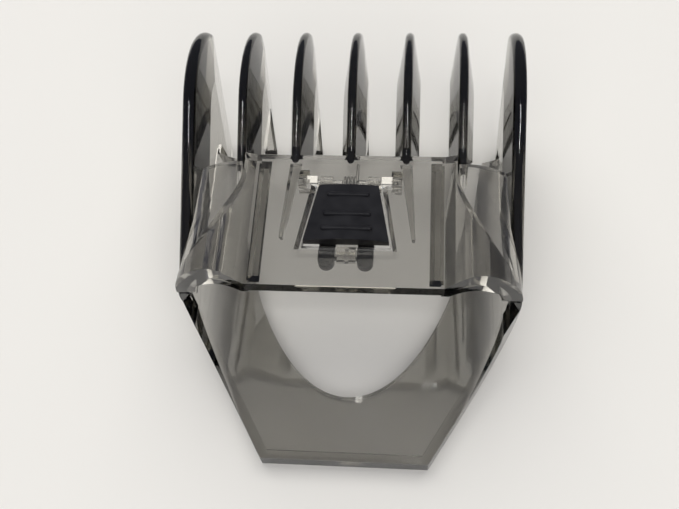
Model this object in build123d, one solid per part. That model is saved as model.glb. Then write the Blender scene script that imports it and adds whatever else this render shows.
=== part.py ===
# Clipper guard comb: one clear smoke-grey moulding (sleeve, side strips, strap tongue and seven
# fins) with a black release button that rocks on a steel pin under the top plate.
# Millimetres. +Y runs along the sleeve from its open mouth to the fins, +X to the right, +Z up.
# Modelling zero is where the line of the fins' outer edges meets the top of the plate.
# Every piece is lifted and shifted at the end so that the comb stands on Z = 0, centred.
from build123d import *
import os
from math import cos, sin, radians

os.makedirs("parts", exist_ok=True)

# ---- sleeve ----
half_width = 23.0          # outer face of the side walls
sole_z = -20.4             # underside of the strap, which rests on the table
plate_front = -18.0        # mouth edge of the top plate
plate_back = 1.3           # rear edge of the top plate
plate_thick = 1.9
wall = 1.5
strap_thick = 2.0
rail_low = -5.2            # lower edge of the guide rails
flat_half = 12.6           # half width of the flat part of the plate
shoulder_rise = 1.1        # the shoulders stand a little above the plate
recess_z = -1.5            # top of the recessed shell behind the shoulders
shoulder_crown = 16.0      # the shoulders are highest here
collar_thick = 2.7         # the collar is thicker at its sides
recess_crown = 14.2
shoulder_end_z = -8.2      # where the shoulder turns into the vertical wall
corner_r = 9.0             # wide round corner from wall to strap
wall_front = -15.6         # mouth edge of the side walls
tongue_front = -35.3
tongue_half = 11.2
arch_tip = -26.2           # nearest point of the arch cut-out
arch_half = 19.3
bead = 0.8                 # height of the bead along the tongue's edges
arch_length = 50.0
side_back_top = 8.0
side_back_low = 13.0

# ---- fins ----
fin_pitch = 7.4
fin_slope = 27.7           # outer edges rise this many degrees from the plate
edge_r = 0.62              # round nose of an inner fin's outer edge
side_edge_r = 0.95         # the two outermost fins are blunter
fin_half = 1.65            # half thickness at the thickest place
flank_depth = 6.5          # the flanks widen over this depth
straight_end = 8.2         # length of the straight outer edge past modelling zero
crown_r = 11.7
skin_top = (22.0, -1.5)    # the skin edge runs down between these two points (Y, Z)
skin_low = (16.4, -20.4)
skin_r = 0.95

# ---- release button ----
win_y_back = -3.3
win_y_front = -12.1
win_half_back = 4.15
win_half_front = 5.75
pin_y = -1.7
pin_z = -3.3
pin_r = 0.6
pin_half = 6.4
button_gap = 0.22
cap_low = -1.0             # underside of the black cap
lip_z = -2.05              # top of the stop prongs, just under the plate
prong_x = 2.5
prong_r = 1.05

along = (cos(radians(fin_slope)), sin(radians(fin_slope)))
outward = (-along[1], along[0])


def prism_x(points, x0, x1):
    """Polygon of (Y, Z) points drawn out from X = x0 to X = x1."""
    face = Plane.YZ * make_face(Polyline(*points, close=True))
    return Pos(x0, 0, 0) * extrude(face, x1 - x0)


def prism_z(points, z0, z1):
    """Polygon of (X, Y) points drawn up from Z = z0 to Z = z1."""
    face = make_face(Polyline(*points, close=True))
    return Pos(0, 0, z0) * extrude(face, z1 - z0)


def ring_half(x_out, z_flat, x_crown, z_crown, z_bottom, corner):
    """Right half of a sleeve section, as a closed face in X and Z."""
    diag = corner * (1 - cos(radians(45)))
    edges = [
        Line((0, z_flat), (flat_half, z_flat)),
        Line((flat_half, z_flat), (x_crown, z_crown)),
        EllipticalCenterArc((x_crown, shoulder_end_z), x_out - x_crown,
                            z_crown - shoulder_end_z, start_angle=0, arc_size=90),
        Line((x_out, shoulder_end_z), (x_out, z_bottom + corner)),
        ThreePointArc((x_out, z_bottom + corner), (x_out - diag, z_bottom + diag),
                      (x_out - corner, z_bottom)),
        Line((x_out - corner, z_bottom), (0, z_bottom)),
        Line((0, z_bottom), (0, z_flat)),
    ]
    return make_face(edges)


def section_solid(face, y0, y1):
    """Draws a face in X and Z along Y, and adds its mirror image."""
    right = Pos(0, y1, 0) * extrude(Plane.XZ * face, y1 - y0)
    return right + mirror(right, Plane.YZ)


def sleeve():
    """Walls, strap and the recessed shell between the fins."""
    outer = section_solid(ring_half(half_width, recess_z, recess_crown, recess_z, sole_z,
                                    corner_r), tongue_front, side_back_low)
    inner = section_solid(ring_half(half_width - wall, recess_z - 1.3, recess_crown,
                                    recess_z - 1.3, sole_z + strap_thick, corner_r - wall),
                          tongue_front - 5, side_back_low + 5)
    under_plate = Pos(0, -10, recess_z) * Box(2 * flat_half - 0.8, 60, 6)
    return outer - [inner, under_plate, mouth_cut(), tongue_cut(-1), tongue_cut(1), arch_cut(),
                    rear_cut()]


def collar():
    """Raised band: the flat plate and the two shoulders, which narrow towards the walls."""
    outer = section_solid(ring_half(half_width, 0.0, shoulder_crown, shoulder_rise, sole_z,
                                    corner_r), plate_front, plate_back)
    inner = section_solid(ring_half(half_width - collar_thick, -plate_thick, shoulder_crown - 0.6,
                                    shoulder_rise - 2.3, sole_z + strap_thick,
                                    corner_r - collar_thick),
                          plate_front - 5, plate_back + 5)
    below = Pos(0, 0, shoulder_end_z - 20) * Box(60, 60, 40)
    slants = []
    for side in (-1, 1):
        edge = make_face([
            Spline((side * 14.4, plate_back + 1), (side * 14.7, -4.0), (side * 16.6, -8.3),
                   (side * 20.4, -13.8), (side * 24.0, -16.2)),
            Polyline((side * 24.0, -16.2), (side * 30, -16.2), (side * 30, plate_back + 1),
                     (side * 14.4, plate_back + 1)),
        ])
        slants.append(Pos(0, 0, -12) * extrude(edge, 20, dir=(0, 0, 1)))
    return outer - ([inner, below, mouth_cut()] + slants)


def mouth_cut():
    """Frees the tongue: the plate, shoulders and walls stop short of it."""
    y = tongue_front - 5
    return prism_x([(y, 6), (plate_front, 6), (plate_front, -2.2), (wall_front, -8.5),
                    (wall_front, sole_z + corner_r + 0.4), (y, sole_z + corner_r + 0.4)], -30, 30)


def shoulder_relief(side):
    """Sets the shoulder's mouth edge back in a shallow curve beside the plate."""
    edge = make_face([
        Spline((side * 12.4, plate_front - 0.1), (side * 14.2, -17.35), (side * 16.4, -16.7),
               (side * 19.6, -16.4), (side * 24.0, wall_front)),
        Polyline((side * 24.0, wall_front), (side * 24.0, -30), (side * 12.4, -30),
                 (side * 12.4, plate_front - 0.1)),
    ])
    return Pos(0, 0, -8.5) * extrude(edge, 16, dir=(0, 0, 1))


def tongue_cut(side):
    """Slants one side of the strap's tongue."""
    x_wide = half_width + 1.0
    return prism_z([(side * x_wide, wall_front + 1.6), (side * tongue_half, tongue_front),
                    (side * tongue_half, tongue_front - 3), (side * 40, tongue_front - 3),
                    (side * 40, wall_front + 1.6)], sole_z - 5, sole_z + corner_r + 0.5)


def arch_cut():
    """Half-ellipse cut-out of the strap, open towards the fins."""
    y_mid = arch_tip + arch_length
    bow = make_face([
        EllipticalCenterArc((0, y_mid), arch_half, arch_length, start_angle=180, arc_size=180),
        Line((-arch_half, y_mid), (arch_half, y_mid)),
    ])
    return Pos(0, 0, sole_z - 3) * extrude(bow, 8)


def rear_cut():
    """Opens the top behind the plate and slopes the walls' rear edges."""
    top = prism_x([(plate_back, 8), (plate_back, -9.0), (30, -9.0), (30, 8)],
                  -30, 30)
    back = prism_x([(side_back_top, shoulder_end_z + 1), (side_back_low, sole_z - 1),
                    (30, sole_z - 1), (30, shoulder_end_z + 1)], -30, 30)
    return top + back


def along_line(face, origin, direction, start, length):
    """Draws a face (depth, X) along a line in the Y-Z plane. Depth runs to the line's right."""
    dy, dz = direction
    depth = (dz, -dy)
    plane = Plane(origin=(0, origin[0] + dy * start, origin[1] + dz * start),
                  x_dir=(0, depth[0], depth[1]), z_dir=(0, dy, dz))
    return extrude(plane * face, length)


def flank_face(nose, length):
    """Half-lens section: a round nose at depth 0, widening to the full thickness."""
    return make_face([
        ThreePointArc((nose, -nose), (0, 0), (nose, nose)),
        Line((nose, nose), (flank_depth, fin_half)),
        Line((flank_depth, fin_half), (length, fin_half)),
        Line((length, fin_half), (length, -fin_half)),
        Line((length, -fin_half), (flank_depth, -fin_half)),
        Line((flank_depth, -fin_half), (nose, -nose)),
    ])


def fin_blank(nose):
    """One fin on X = 0 before its lower edges are cut: straight edge, crown and skin edge."""
    straight = along_line(flank_face(nose, 34.0), (0, 0), along, -20.0, 20.0 + straight_end)
    crown_start = (along[0] * straight_end, along[1] * straight_end)
    centre = (crown_start[0] - outward[0] * crown_r, crown_start[1] - outward[1] * crown_r)
    section = make_face([
        ThreePointArc((nose, -nose), (0, 0), (nose, nose)),
        Line((nose, nose), (flank_depth, fin_half)),
        Line((flank_depth, fin_half), (crown_r, fin_half)),
        Line((crown_r, fin_half), (crown_r, -fin_half)),
        Line((crown_r, -fin_half), (flank_depth, -fin_half)),
        Line((flank_depth, -fin_half), (nose, -nose)),
    ])
    plane = Plane(origin=(0, crown_start[0], crown_start[1]), x_dir=(0, -outward[0], -outward[1]),
                  z_dir=(0, along[0], along[1]))
    axis = Axis((0, centre[0], centre[1]), (-1, 0, 0))
    crown = revolve(plane * section, axis, 120)
    lower = prism_x([(centre[0] - 3, centre[1]), (centre[0] + 12, centre[1] + 0.0),
                     (centre[0] + 12, -26), (centre[0] - 3, -26)], -fin_half, fin_half)
    dy = skin_low[0] - skin_top[0]
    dz = skin_low[1] - skin_top[1]
    run = (dy * dy + dz * dz) ** 0.5
    skin = along_line(flank_face(skin_r, 50.0), skin_top, (dy / run, dz / run), -14.0, run + 24.0)
    return (straight + crown + lower) & skin


def clipper_space():
    """Room for the clipper's head, which trims the fins' inner edges (Y, Z outline)."""
    roof = -plate_thick + 0.3
    edge = [
        Polyline((-60, roof), (plate_back - 0.2, roof), (4.2, -5.6)),
        Line((4.2, -5.6), (7.6, -8.0)),
        Line((7.6, -8.0), (14.4, -8.6)),
        ThreePointArc((14.4, -8.6), (15.7, -9.2), (16.2, -10.6)),
        Line((16.2, -10.6), (14.2, -26.0)),
        Polyline((14.2, -26.0), (-60, -26.0), (-60, roof)),
    ]
    room = extrude(Plane.YZ * make_face(edge), 60, both=True)
    return room


def side_space():
    """Outer fins keep the side wall below them, so less is trimmed away from those."""
    edge = [
        Line((side_back_top, -8.6), (14.4, -8.6)),
        ThreePointArc((14.4, -8.6), (15.7, -9.2), (16.2, -10.6)),
        Line((16.2, -10.6), (14.2, -26.0)),
        Polyline((14.2, -26.0), (side_back_low + 2.4, -26.0), (side_back_top, -8.6)),
    ]
    return extrude(Plane.YZ * make_face(edge), 60, both=True)


def fins():
    keep = Pos(0, 0, -4) * Box(2 * half_width, 90, 2 * (-sole_z - 4))
    inner = (fin_blank(edge_r) & keep) - clipper_space()
    blank = fin_blank(side_edge_r)
    solids = []
    for i in range(-2, 3):
        solids.append(Pos(i * fin_pitch, 0, 0) * inner)
    front = prism_x([(-40, 10), (-15.8, 10), (-15.8, -30), (-40, -30)], -40, 40)
    below = prism_x([(-40, -10.6), (10, -10.6), (14, -30), (-40, -30)], -40, 40)
    for side in (-1, 1):
        x0 = min(side * (half_width - wall), side * (half_width - wall - 20))
        deep = prism_x([(-40, -9), (side_back_top + 0.3, -9), (side_back_top + 0.3, -30),
                        (-40, -30)], x0, x0 + 20)
        outer = Pos(side * 3 * fin_pitch, 0, 0) * blank
        solids.append((outer - [side_space(), front, deep, below]) & keep)
    return solids


def rails():
    """Two guide rails under the plate, beside the clipper's neck, and two tapered ribs."""
    both = []
    ribs = []
    for side in (-1, 1):
        both.append(loft([
            Plane.XY.offset(-1.0) * make_face(rail_outline(side, 1.15, 0.3)),
            Plane.XY.offset(rail_low) * make_face(rail_outline(side, 0.35, 2.6)),
        ]))
        ribs.append(loft([
            Plane.XY.offset(-1.2) * make_face(rib_outline(side, 1.0)),
            Plane.XY.offset(-plate_thick - 1.5) * make_face(rib_outline(side, 0.55)),
        ]))
    return both + ribs


def rail_outline(side, half, setback):
    """Rectangle of one guide rail, seen from above, at one depth."""
    x = side * 11.7
    y0 = plate_front + setback
    y1 = plate_back - 0.4
    return Polyline((x - half, y0), (x + half, y0), (x + half, y1), (x - half, y1), close=True)


def rib_outline(side, share):
    """Long thin triangle under the plate that carries a fin's root forward."""
    wide = 0.95 * share
    narrow = 0.3 * share
    return Polyline((side * 7.4 - wide, 0.6), (side * 7.4 + wide, 0.6),
                    (side * 8.6 + narrow, -10.8 * (0.9 + 0.1 * share)),
                    (side * 8.6 - narrow, -10.8 * (0.9 + 0.1 * share)), close=True)


def tongue_bead():
    """Raised bead along the slanted sides and the front of the tongue."""
    outer = section_solid(ring_half(half_width, recess_z, recess_crown, recess_z, sole_z, corner_r),
                          tongue_front, wall_front + 1.6)
    inner = section_solid(ring_half(half_width - wall - bead, recess_z - 1.3, recess_crown,
                                    recess_z - 1.3, sole_z + strap_thick + bead,
                                    corner_r - wall - bead), tongue_front - 5, side_back_low)
    y = wall_front + 1.6
    x = half_width + 1.0
    outline = prism_z([(-x, y), (x, y), (tongue_half, tongue_front), (-tongue_half, tongue_front)],
                      sole_z - 1, -9.5)
    inset = prism_z([(1.4 - x, y + 1), (x - 1.4, y + 1), (tongue_half - 0.8, tongue_front + 1.2),
                     (0.8 - tongue_half, tongue_front + 1.2)], sole_z - 2, -8)
    return (outer - [inner, inset, mouth_cut()]) & outline


def window_cut():
    """Trapezoid window for the button, through the plate, with a bevelled seat around it."""
    through = prism_z([(-win_half_back, win_y_back), (win_half_back, win_y_back),
                       (win_half_front, win_y_front), (-win_half_front, win_y_front)], -8, 4)
    low = Plane.XY.offset(-0.75)
    high = Plane.XY.offset(0.4)
    grow = 1.1
    seat = loft([
        low * make_face(Polyline((-win_half_back - 0.2, win_y_back), (win_half_back + 0.2, win_y_back),
                                 (win_half_front + 0.3, win_y_front - 0.5),
                                 (-win_half_front - 0.3, win_y_front - 0.5), close=True)),
        high * make_face(Polyline((-win_half_back - grow, win_y_back), (win_half_back + grow, win_y_back),
                                  (win_half_front + grow, win_y_front - grow),
                                  (-win_half_front - grow, win_y_front - grow), close=True)),
    ])
    slots = []
    for side in (-1, 1):
        slots.append(Pos(side * 4.95, -2.65, 0) * Box(1.4, 1.4, 12))
    return [through, seat] + slots


def pin_lugs():
    """Bearing lugs under the plate that hold the pin's two ends."""
    lugs = []
    for side in (-1, 1):
        x0 = side * 6.2 - 0.7
        body = prism_x([(pin_y - 1.3, -plate_thick + 0.3), (pin_y + 1.3, -plate_thick + 0.3),
                        (pin_y + 1.3, pin_z), (pin_y - 1.3, pin_z)], x0, x0 + 1.4)
        boss = Pos(x0 + 0.7, pin_y, pin_z) * Rot(0, 90, 0) * Cylinder(1.3, 1.4)
        hole = Pos(x0 + 0.7, pin_y, pin_z) * Rot(0, 90, 0) * Cylinder(pin_r + 0.01, 3)
        lugs.append((body + boss) - hole)
    return lugs


def comb_body():
    shell = sleeve() + ([collar(), tongue_bead()] + fins() + rails())
    shell = shell - window_cut()
    shell = shell - [shoulder_relief(-1), shoulder_relief(1)]
    return shell + pin_lugs()


def button_outline(inset, z0, z1):
    """Trapezoid that fills the window, less a gap. The front gap is wider, for the rocking."""
    back = win_y_back - button_gap - inset
    front = win_y_front + 2.1 * button_gap + inset
    half_back = win_half_back - button_gap - inset
    half_front = win_half_front - button_gap - inset
    return prism_z([(-half_back, back), (half_back, back), (half_front, front),
                    (-half_front, front)], z0, z1)


def release_button():
    """Black cap with a slightly crowned face and three grip ridges."""
    back = win_y_back - button_gap
    front = win_y_front + 2.1 * button_gap
    slant = (win_half_front - win_half_back) / (win_y_back - win_y_front)
    crown = Pos(0, (back + front) / 2, -24.4) * Rot(90, 0, 0) * Cylinder(25.0, 20)
    cap = button_outline(0, cap_low, 0.7) & crown
    for y in (-5.0, -7.9, -10.0):
        half = 2.3 + slant * 0.6 * (back - y)
        ridge = Pos(0, y, 0.46) * Rot(0, 90, 0) * Cylinder(0.34, 2 * half)
        for end in (-half, half):
            ridge = ridge + Pos(end, y, 0.46) * Sphere(0.34)
        cap = cap + ridge
    return cap + stop_prongs(front)


def stop_prongs(front):
    """Two prongs below the cap. Their round ends catch the plate and stop the button's rise."""
    prongs = []
    for side in (-1, 1):
        x = side * prong_x
        foot = Pos(x, front + 0.1, lip_z - 0.6) * Box(2 * prong_r, 4.2, 1.2)
        riser = Pos(x, front + 1.3, (cap_low + lip_z - 1.2) / 2) * Box(
            2 * prong_r, 1.8, cap_low - lip_z + 1.2)
        tip = Pos(x, front - 2.0, lip_z - 0.6) * Cylinder(prong_r, 1.2)
        prongs.append(foot + [riser, tip])
    return prongs


def rocker_lever():
    """Smoke-clear lever under the cap: two hinge arms, and the pawl between the cap's prongs."""
    back = win_y_back - button_gap
    front = win_y_front + 2.1 * button_gap
    core = button_outline(0.5, -1.95, cap_low)
    pieces = []
    for side in (-1, 1):
        x0 = side * 3.2 - 0.8
        pieces.append(prism_x([(back - 1.5, -1.7), (back - 0.5, -1.7), (back, -2.25),
                               (pin_y, -2.15), (pin_y + 1.0, pin_z), (pin_y, pin_z - 1.0),
                               (back - 1.5, pin_z - 0.4)], x0, x0 + 1.6))
        pieces.append(Pos(x0 + 0.8, pin_y, pin_z) * Rot(0, 90, 0) * Cylinder(1.15, 1.6))
    pieces.append(Pos(0, front + 0.3, lip_z - 0.6) * Box(2 * (prong_x - prong_r), 3.8, 1.2))
    pieces.append(Pos(0, front + 1.6, -2.3) * Box(2 * (prong_x - prong_r), 1.8, 1.4))
    pieces.append(prism_x([(front + 0.5, -2.9), (front - 1.9, -2.9), (front - 1.9, -3.4),
                           (front - 1.1, -4.8), (front - 0.4, -4.8)], -1.2, 1.2))
    lever = core + pieces
    groove = Pos(0, front - 1.6, -4.6) * Box(0.5, 3.4, 1.0)
    hole = Pos(0, pin_y, pin_z) * Rot(0, 90, 0) * Cylinder(pin_r + 0.05, 30)
    return lever - [groove, hole] - stop_prongs(front)


def pivot_pin():
    pin = Pos(0, pin_y, pin_z) * Rot(0, 90, 0) * Cylinder(pin_r, 2 * pin_half)
    return chamfer(pin.edges(), 0.15)


def return_spring():
    """Torsion spring on the pin: a coil with one leg under the button and one under the plate."""
    wire_r = 0.2
    coil_r = pin_r + 0.12 + wire_r
    turns = 4
    pitch = 0.46
    height = turns * pitch
    path = Helix(pitch, height, coil_r)
    start = path @ 0
    tangent = path % 0
    profile = Plane(origin=start, z_dir=tangent) * Circle(wire_r)
    coil = sweep(profile, path, is_frenet=True)
    coil = Pos(-height / 2, pin_y, pin_z) * Rot(0, 90, 0) * coil
    leg_a = Pos(-height / 2, pin_y - 2.2, pin_z + coil_r) * Rot(90, 0, 0) * Cylinder(wire_r, 4.4)
    leg_b = Pos(height / 2, pin_y + 1.3, pin_z + coil_r) * Rot(90, 0, 0) * Cylinder(wire_r, 2.6)
    return coil + leg_a + leg_b


def place(shape, label):
    """Stands the comb on Z = 0 with the middle of its footprint at the origin."""
    moved = Pos(0, -footprint_mid, -sole_z) * shape
    moved.label = label
    export_step(moved, os.path.join("parts", label + ".step"))


body = comb_body()
box = body.bounding_box()
footprint_mid = (box.min.Y + box.max.Y) / 2
place(body, "comb_body")
place(release_button(), "release_button")
place(rocker_lever(), "rocker_lever")
place(pivot_pin(), "pivot_pin")
place(return_spring(), "return_spring")
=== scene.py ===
"""Clipper guard comb: clear smoke plastic moulding with a black release button, on a pale table."""
import math

import bpy
from mathutils import Matrix, Vector

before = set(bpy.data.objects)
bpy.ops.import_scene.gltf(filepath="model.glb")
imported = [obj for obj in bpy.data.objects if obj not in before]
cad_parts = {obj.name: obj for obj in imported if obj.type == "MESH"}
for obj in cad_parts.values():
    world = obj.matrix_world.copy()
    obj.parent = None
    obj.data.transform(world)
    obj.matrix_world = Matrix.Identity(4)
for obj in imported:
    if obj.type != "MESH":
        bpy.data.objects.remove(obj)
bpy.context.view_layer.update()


# ---- node helpers ----
NOISE_LOW, NOISE_HIGH = 0.3, 0.7      # the part of the noise range that is stretched out


def new_material(name):
    """Empty material and its node tree."""
    mat = bpy.data.materials.new(name)
    mat.use_nodes = True
    mat.node_tree.nodes.clear()
    return mat, mat.node_tree


def add(tree, kind, **values):
    """New node. Each value goes to the socket of that name, or else to the node's setting."""
    node = tree.nodes.new(kind)
    for key, value in values.items():
        if key in node.inputs:
            node.inputs[key].default_value = value
        else:
            setattr(node, key, value)
    return node


def noise(tree, scale, detail=3.0):
    """Noise in object space, in cells of 1 / scale metres."""
    place = add(tree, "ShaderNodeTexCoord")
    field = add(tree, "ShaderNodeTexNoise", Scale=scale, Detail=detail)
    tree.links.new(place.outputs["Object"], field.inputs["Vector"])
    return field


def spread(tree, source, low, high):
    """Turns a 0..1 field into low..high."""
    node = add(tree, "ShaderNodeMapRange")
    node.inputs["From Min"].default_value = NOISE_LOW
    node.inputs["From Max"].default_value = NOISE_HIGH
    node.inputs["To Min"].default_value = low
    node.inputs["To Max"].default_value = high
    tree.links.new(source, node.inputs["Value"])
    return node.outputs["Result"]


def tint(tree, source, first, second):
    """Turns a 0..1 field into a blend of two colours."""
    ramp = add(tree, "ShaderNodeValToRGB")
    ramp.color_ramp.elements[0].position = NOISE_LOW
    ramp.color_ramp.elements[0].color = (*first, 1)
    ramp.color_ramp.elements[1].position = NOISE_HIGH
    ramp.color_ramp.elements[1].color = (*second, 1)
    tree.links.new(source, ramp.inputs["Fac"])
    return ramp.outputs["Color"]


def bump(tree, source, strength, distance):
    """Surface relief from a field. Distance is in metres."""
    node = add(tree, "ShaderNodeBump", Strength=strength, Distance=distance)
    tree.links.new(source, node.inputs["Height"])
    return node.outputs["Normal"]


def finish_tree(tree, shader, volume=None):
    """Links the shader, and the volume if there is one, to the material's output."""
    out = add(tree, "ShaderNodeOutputMaterial")
    tree.links.new(shader.outputs[0], out.inputs["Surface"])
    if volume:
        tree.links.new(volume.outputs[0], out.inputs["Volume"])


# ---- materials ----
SMOKE_IOR = 1.585                      # polycarbonate
SMOKE_DENSITY = 268.0                  # per metre; a channel absorbs density * (1 - colour)
SMOKE_COLOUR = (0.20, 0.18, 0.12, 1.0)
FLOW_TINTS = (0.97, 0.965, 0.955), (1.0, 1.0, 1.0)
BLACK_TINTS = (0.008, 0.008, 0.009), (0.015, 0.015, 0.017)
TABLE_TINTS = (0.805, 0.797, 0.775), (0.82, 0.812, 0.79)
STEEL_SHADE = (0.85, 0.85, 0.84)       # darker streaks, as a share of the steel's tone


def smoke_plastic():
    """Clear polycarbonate dyed smoke grey: its colour comes from the depth of plastic."""
    mat, tree = new_material("smoke_polycarbonate")
    shader = add(tree, "ShaderNodeBsdfPrincipled", IOR=SMOKE_IOR)
    shader.inputs["Transmission Weight"].default_value = 1.0
    wear = noise(tree, scale=420.0, detail=4.0)
    tree.links.new(spread(tree, wear.outputs["Fac"], low=0.015, high=0.07),
                   shader.inputs["Roughness"])
    flow = noise(tree, scale=90.0, detail=2.0)
    tree.links.new(tint(tree, flow.outputs["Fac"], *FLOW_TINTS), shader.inputs["Base Color"])
    tree.links.new(bump(tree, flow.outputs["Fac"], strength=0.12, distance=0.0003),
                   shader.inputs["Normal"])
    depth = add(tree, "ShaderNodeVolumeAbsorption", Density=SMOKE_DENSITY)
    depth.inputs["Color"].default_value = SMOKE_COLOUR
    finish_tree(tree, shader, depth)
    return mat


def black_plastic():
    """Black moulded plastic with a fine spark-eroded grain and slightly polished high spots."""
    mat, tree = new_material("black_button_plastic")
    shader = add(tree, "ShaderNodeBsdfPrincipled")
    shader.inputs["Specular IOR Level"].default_value = 0.5
    grain = noise(tree, scale=9000.0, detail=2.0)
    smear = noise(tree, scale=500.0)
    tree.links.new(tint(tree, smear.outputs["Fac"], *BLACK_TINTS), shader.inputs["Base Color"])
    tree.links.new(spread(tree, smear.outputs["Fac"], low=0.3, high=0.42),
                   shader.inputs["Roughness"])
    tree.links.new(bump(tree, grain.outputs["Fac"], strength=0.25, distance=0.00003),
                   shader.inputs["Normal"])
    finish_tree(tree, shader)
    return mat


def steel(name, tone, rough):
    """Ground or drawn steel with fine lengthwise variation."""
    mat, tree = new_material(name)
    shader = add(tree, "ShaderNodeBsdfPrincipled", Metallic=1.0)
    grain = noise(tree, scale=4000.0)
    shade = tuple(tone * c for c in STEEL_SHADE)
    tree.links.new(tint(tree, grain.outputs["Fac"], shade, (tone, tone, tone)),
                   shader.inputs["Base Color"])
    tree.links.new(spread(tree, grain.outputs["Fac"], low=rough, high=rough + 0.15),
                   shader.inputs["Roughness"])
    finish_tree(tree, shader)
    return mat


def table_top():
    """Plain pale laminate with hardly any texture."""
    mat, tree = new_material("pale_table")
    shader = add(tree, "ShaderNodeBsdfPrincipled", Roughness=0.6)
    cloud = noise(tree, scale=6.0)
    tree.links.new(tint(tree, cloud.outputs["Fac"], *TABLE_TINTS), shader.inputs["Base Color"])
    finish_tree(tree, shader)
    return mat


clear = smoke_plastic()
LOOKS = {
    "comb_body": clear,
    "rocker_lever": clear,
    "release_button": black_plastic(),
    "pivot_pin": steel("ground_steel", tone=0.62, rough=0.2),
    "return_spring": steel("spring_wire", tone=0.5, rough=0.25),
}
for node, look in LOOKS.items():
    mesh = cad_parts[node].data
    mesh.materials.clear()
    mesh.materials.append(look)

# ---- table ----
FLOOR_HALF = 1.2
TABLE_DROP = 0.00005                   # keeps the table's face just clear of the sole
floor_mesh = bpy.data.meshes.new("table")
floor_mesh.from_pydata([(-FLOOR_HALF, -FLOOR_HALF, 0), (FLOOR_HALF, -FLOOR_HALF, 0),
                        (FLOOR_HALF, FLOOR_HALF, 0), (-FLOOR_HALF, FLOOR_HALF, 0)], [],
                       [(0, 1, 2, 3)])
floor = bpy.data.objects.new("table", floor_mesh)
bpy.context.collection.objects.link(floor)
floor_mesh.materials.append(table_top())
floor.location.z = -TABLE_DROP


# ---- light ----
WARM = (1.0, 0.975, 0.91)
WHITE = (1.0, 0.99, 0.98)
SOFT_BOXES = (
    # name, place, side, power, colour, seen in reflections
    ("ceiling", (-0.08, 0.75, 0.9), 1.6, 16.8, WARM, False),
    ("front", (0.1, -0.85, 0.85), 1.3, 8.0, WARM, False),
    ("lamp", (0.06, -0.31, 0.95), 0.09, 0.6, WHITE, True),
)
ROOM_COLOUR = (0.8, 0.82, 1.0, 1)
ROOM_STRENGTH = 0.2


def soft_box(name, place, side, power, colour, reflected):
    """Square area light aimed at the origin."""
    data = bpy.data.lights.new(name, "AREA")
    data.shape = "RECTANGLE"
    data.size = data.size_y = side
    data.energy = power
    data.color = colour
    lamp = bpy.data.objects.new(name, data)
    bpy.context.collection.objects.link(lamp)
    lamp.location = place
    lamp.rotation_euler = (-Vector(place)).to_track_quat("-Z", "Y").to_euler()
    lamp.visible_glossy = reflected


for box in SOFT_BOXES:
    soft_box(*box)

world = bpy.data.worlds.new("room")
bpy.context.scene.world = world
world.use_nodes = True
world.node_tree.nodes["Background"].inputs["Color"].default_value = ROOM_COLOUR
world.node_tree.nodes["Background"].inputs["Strength"].default_value = ROOM_STRENGTH
bpy.context.scene.view_settings.view_transform = "Standard"

# ---- camera: above the mouth, looking down along the fins' outer edges ----
FOCAL_PX = 900.0
FRAME_WIDTH = 679.0
SENSOR_WIDTH = 36.0
CLIP_START = 0.005
TURN = (0.007, -0.086, -0.023)         # small turn on top of the tilt, in radians
EYE = (0.009096, -0.0589187, 0.120965)
TILT = math.radians(27.7)
turn = Vector(TURN)
level = Matrix(((1, 0, 0), (0, math.cos(TILT), math.sin(TILT)),
                (0, -math.sin(TILT), math.cos(TILT))))
axes = (Matrix.Rotation(turn.length, 3, turn.normalized()) @ level).transposed()
lens = bpy.data.cameras.new("camera")
lens.sensor_fit = "HORIZONTAL"
lens.sensor_width = SENSOR_WIDTH
lens.lens = FOCAL_PX * lens.sensor_width / FRAME_WIDTH
lens.clip_start = CLIP_START
camera = bpy.data.objects.new("camera", lens)
bpy.context.collection.objects.link(camera)
camera.matrix_world = Matrix.Translation(EYE) @ axes.to_4x4()
bpy.context.scene.camera = camera
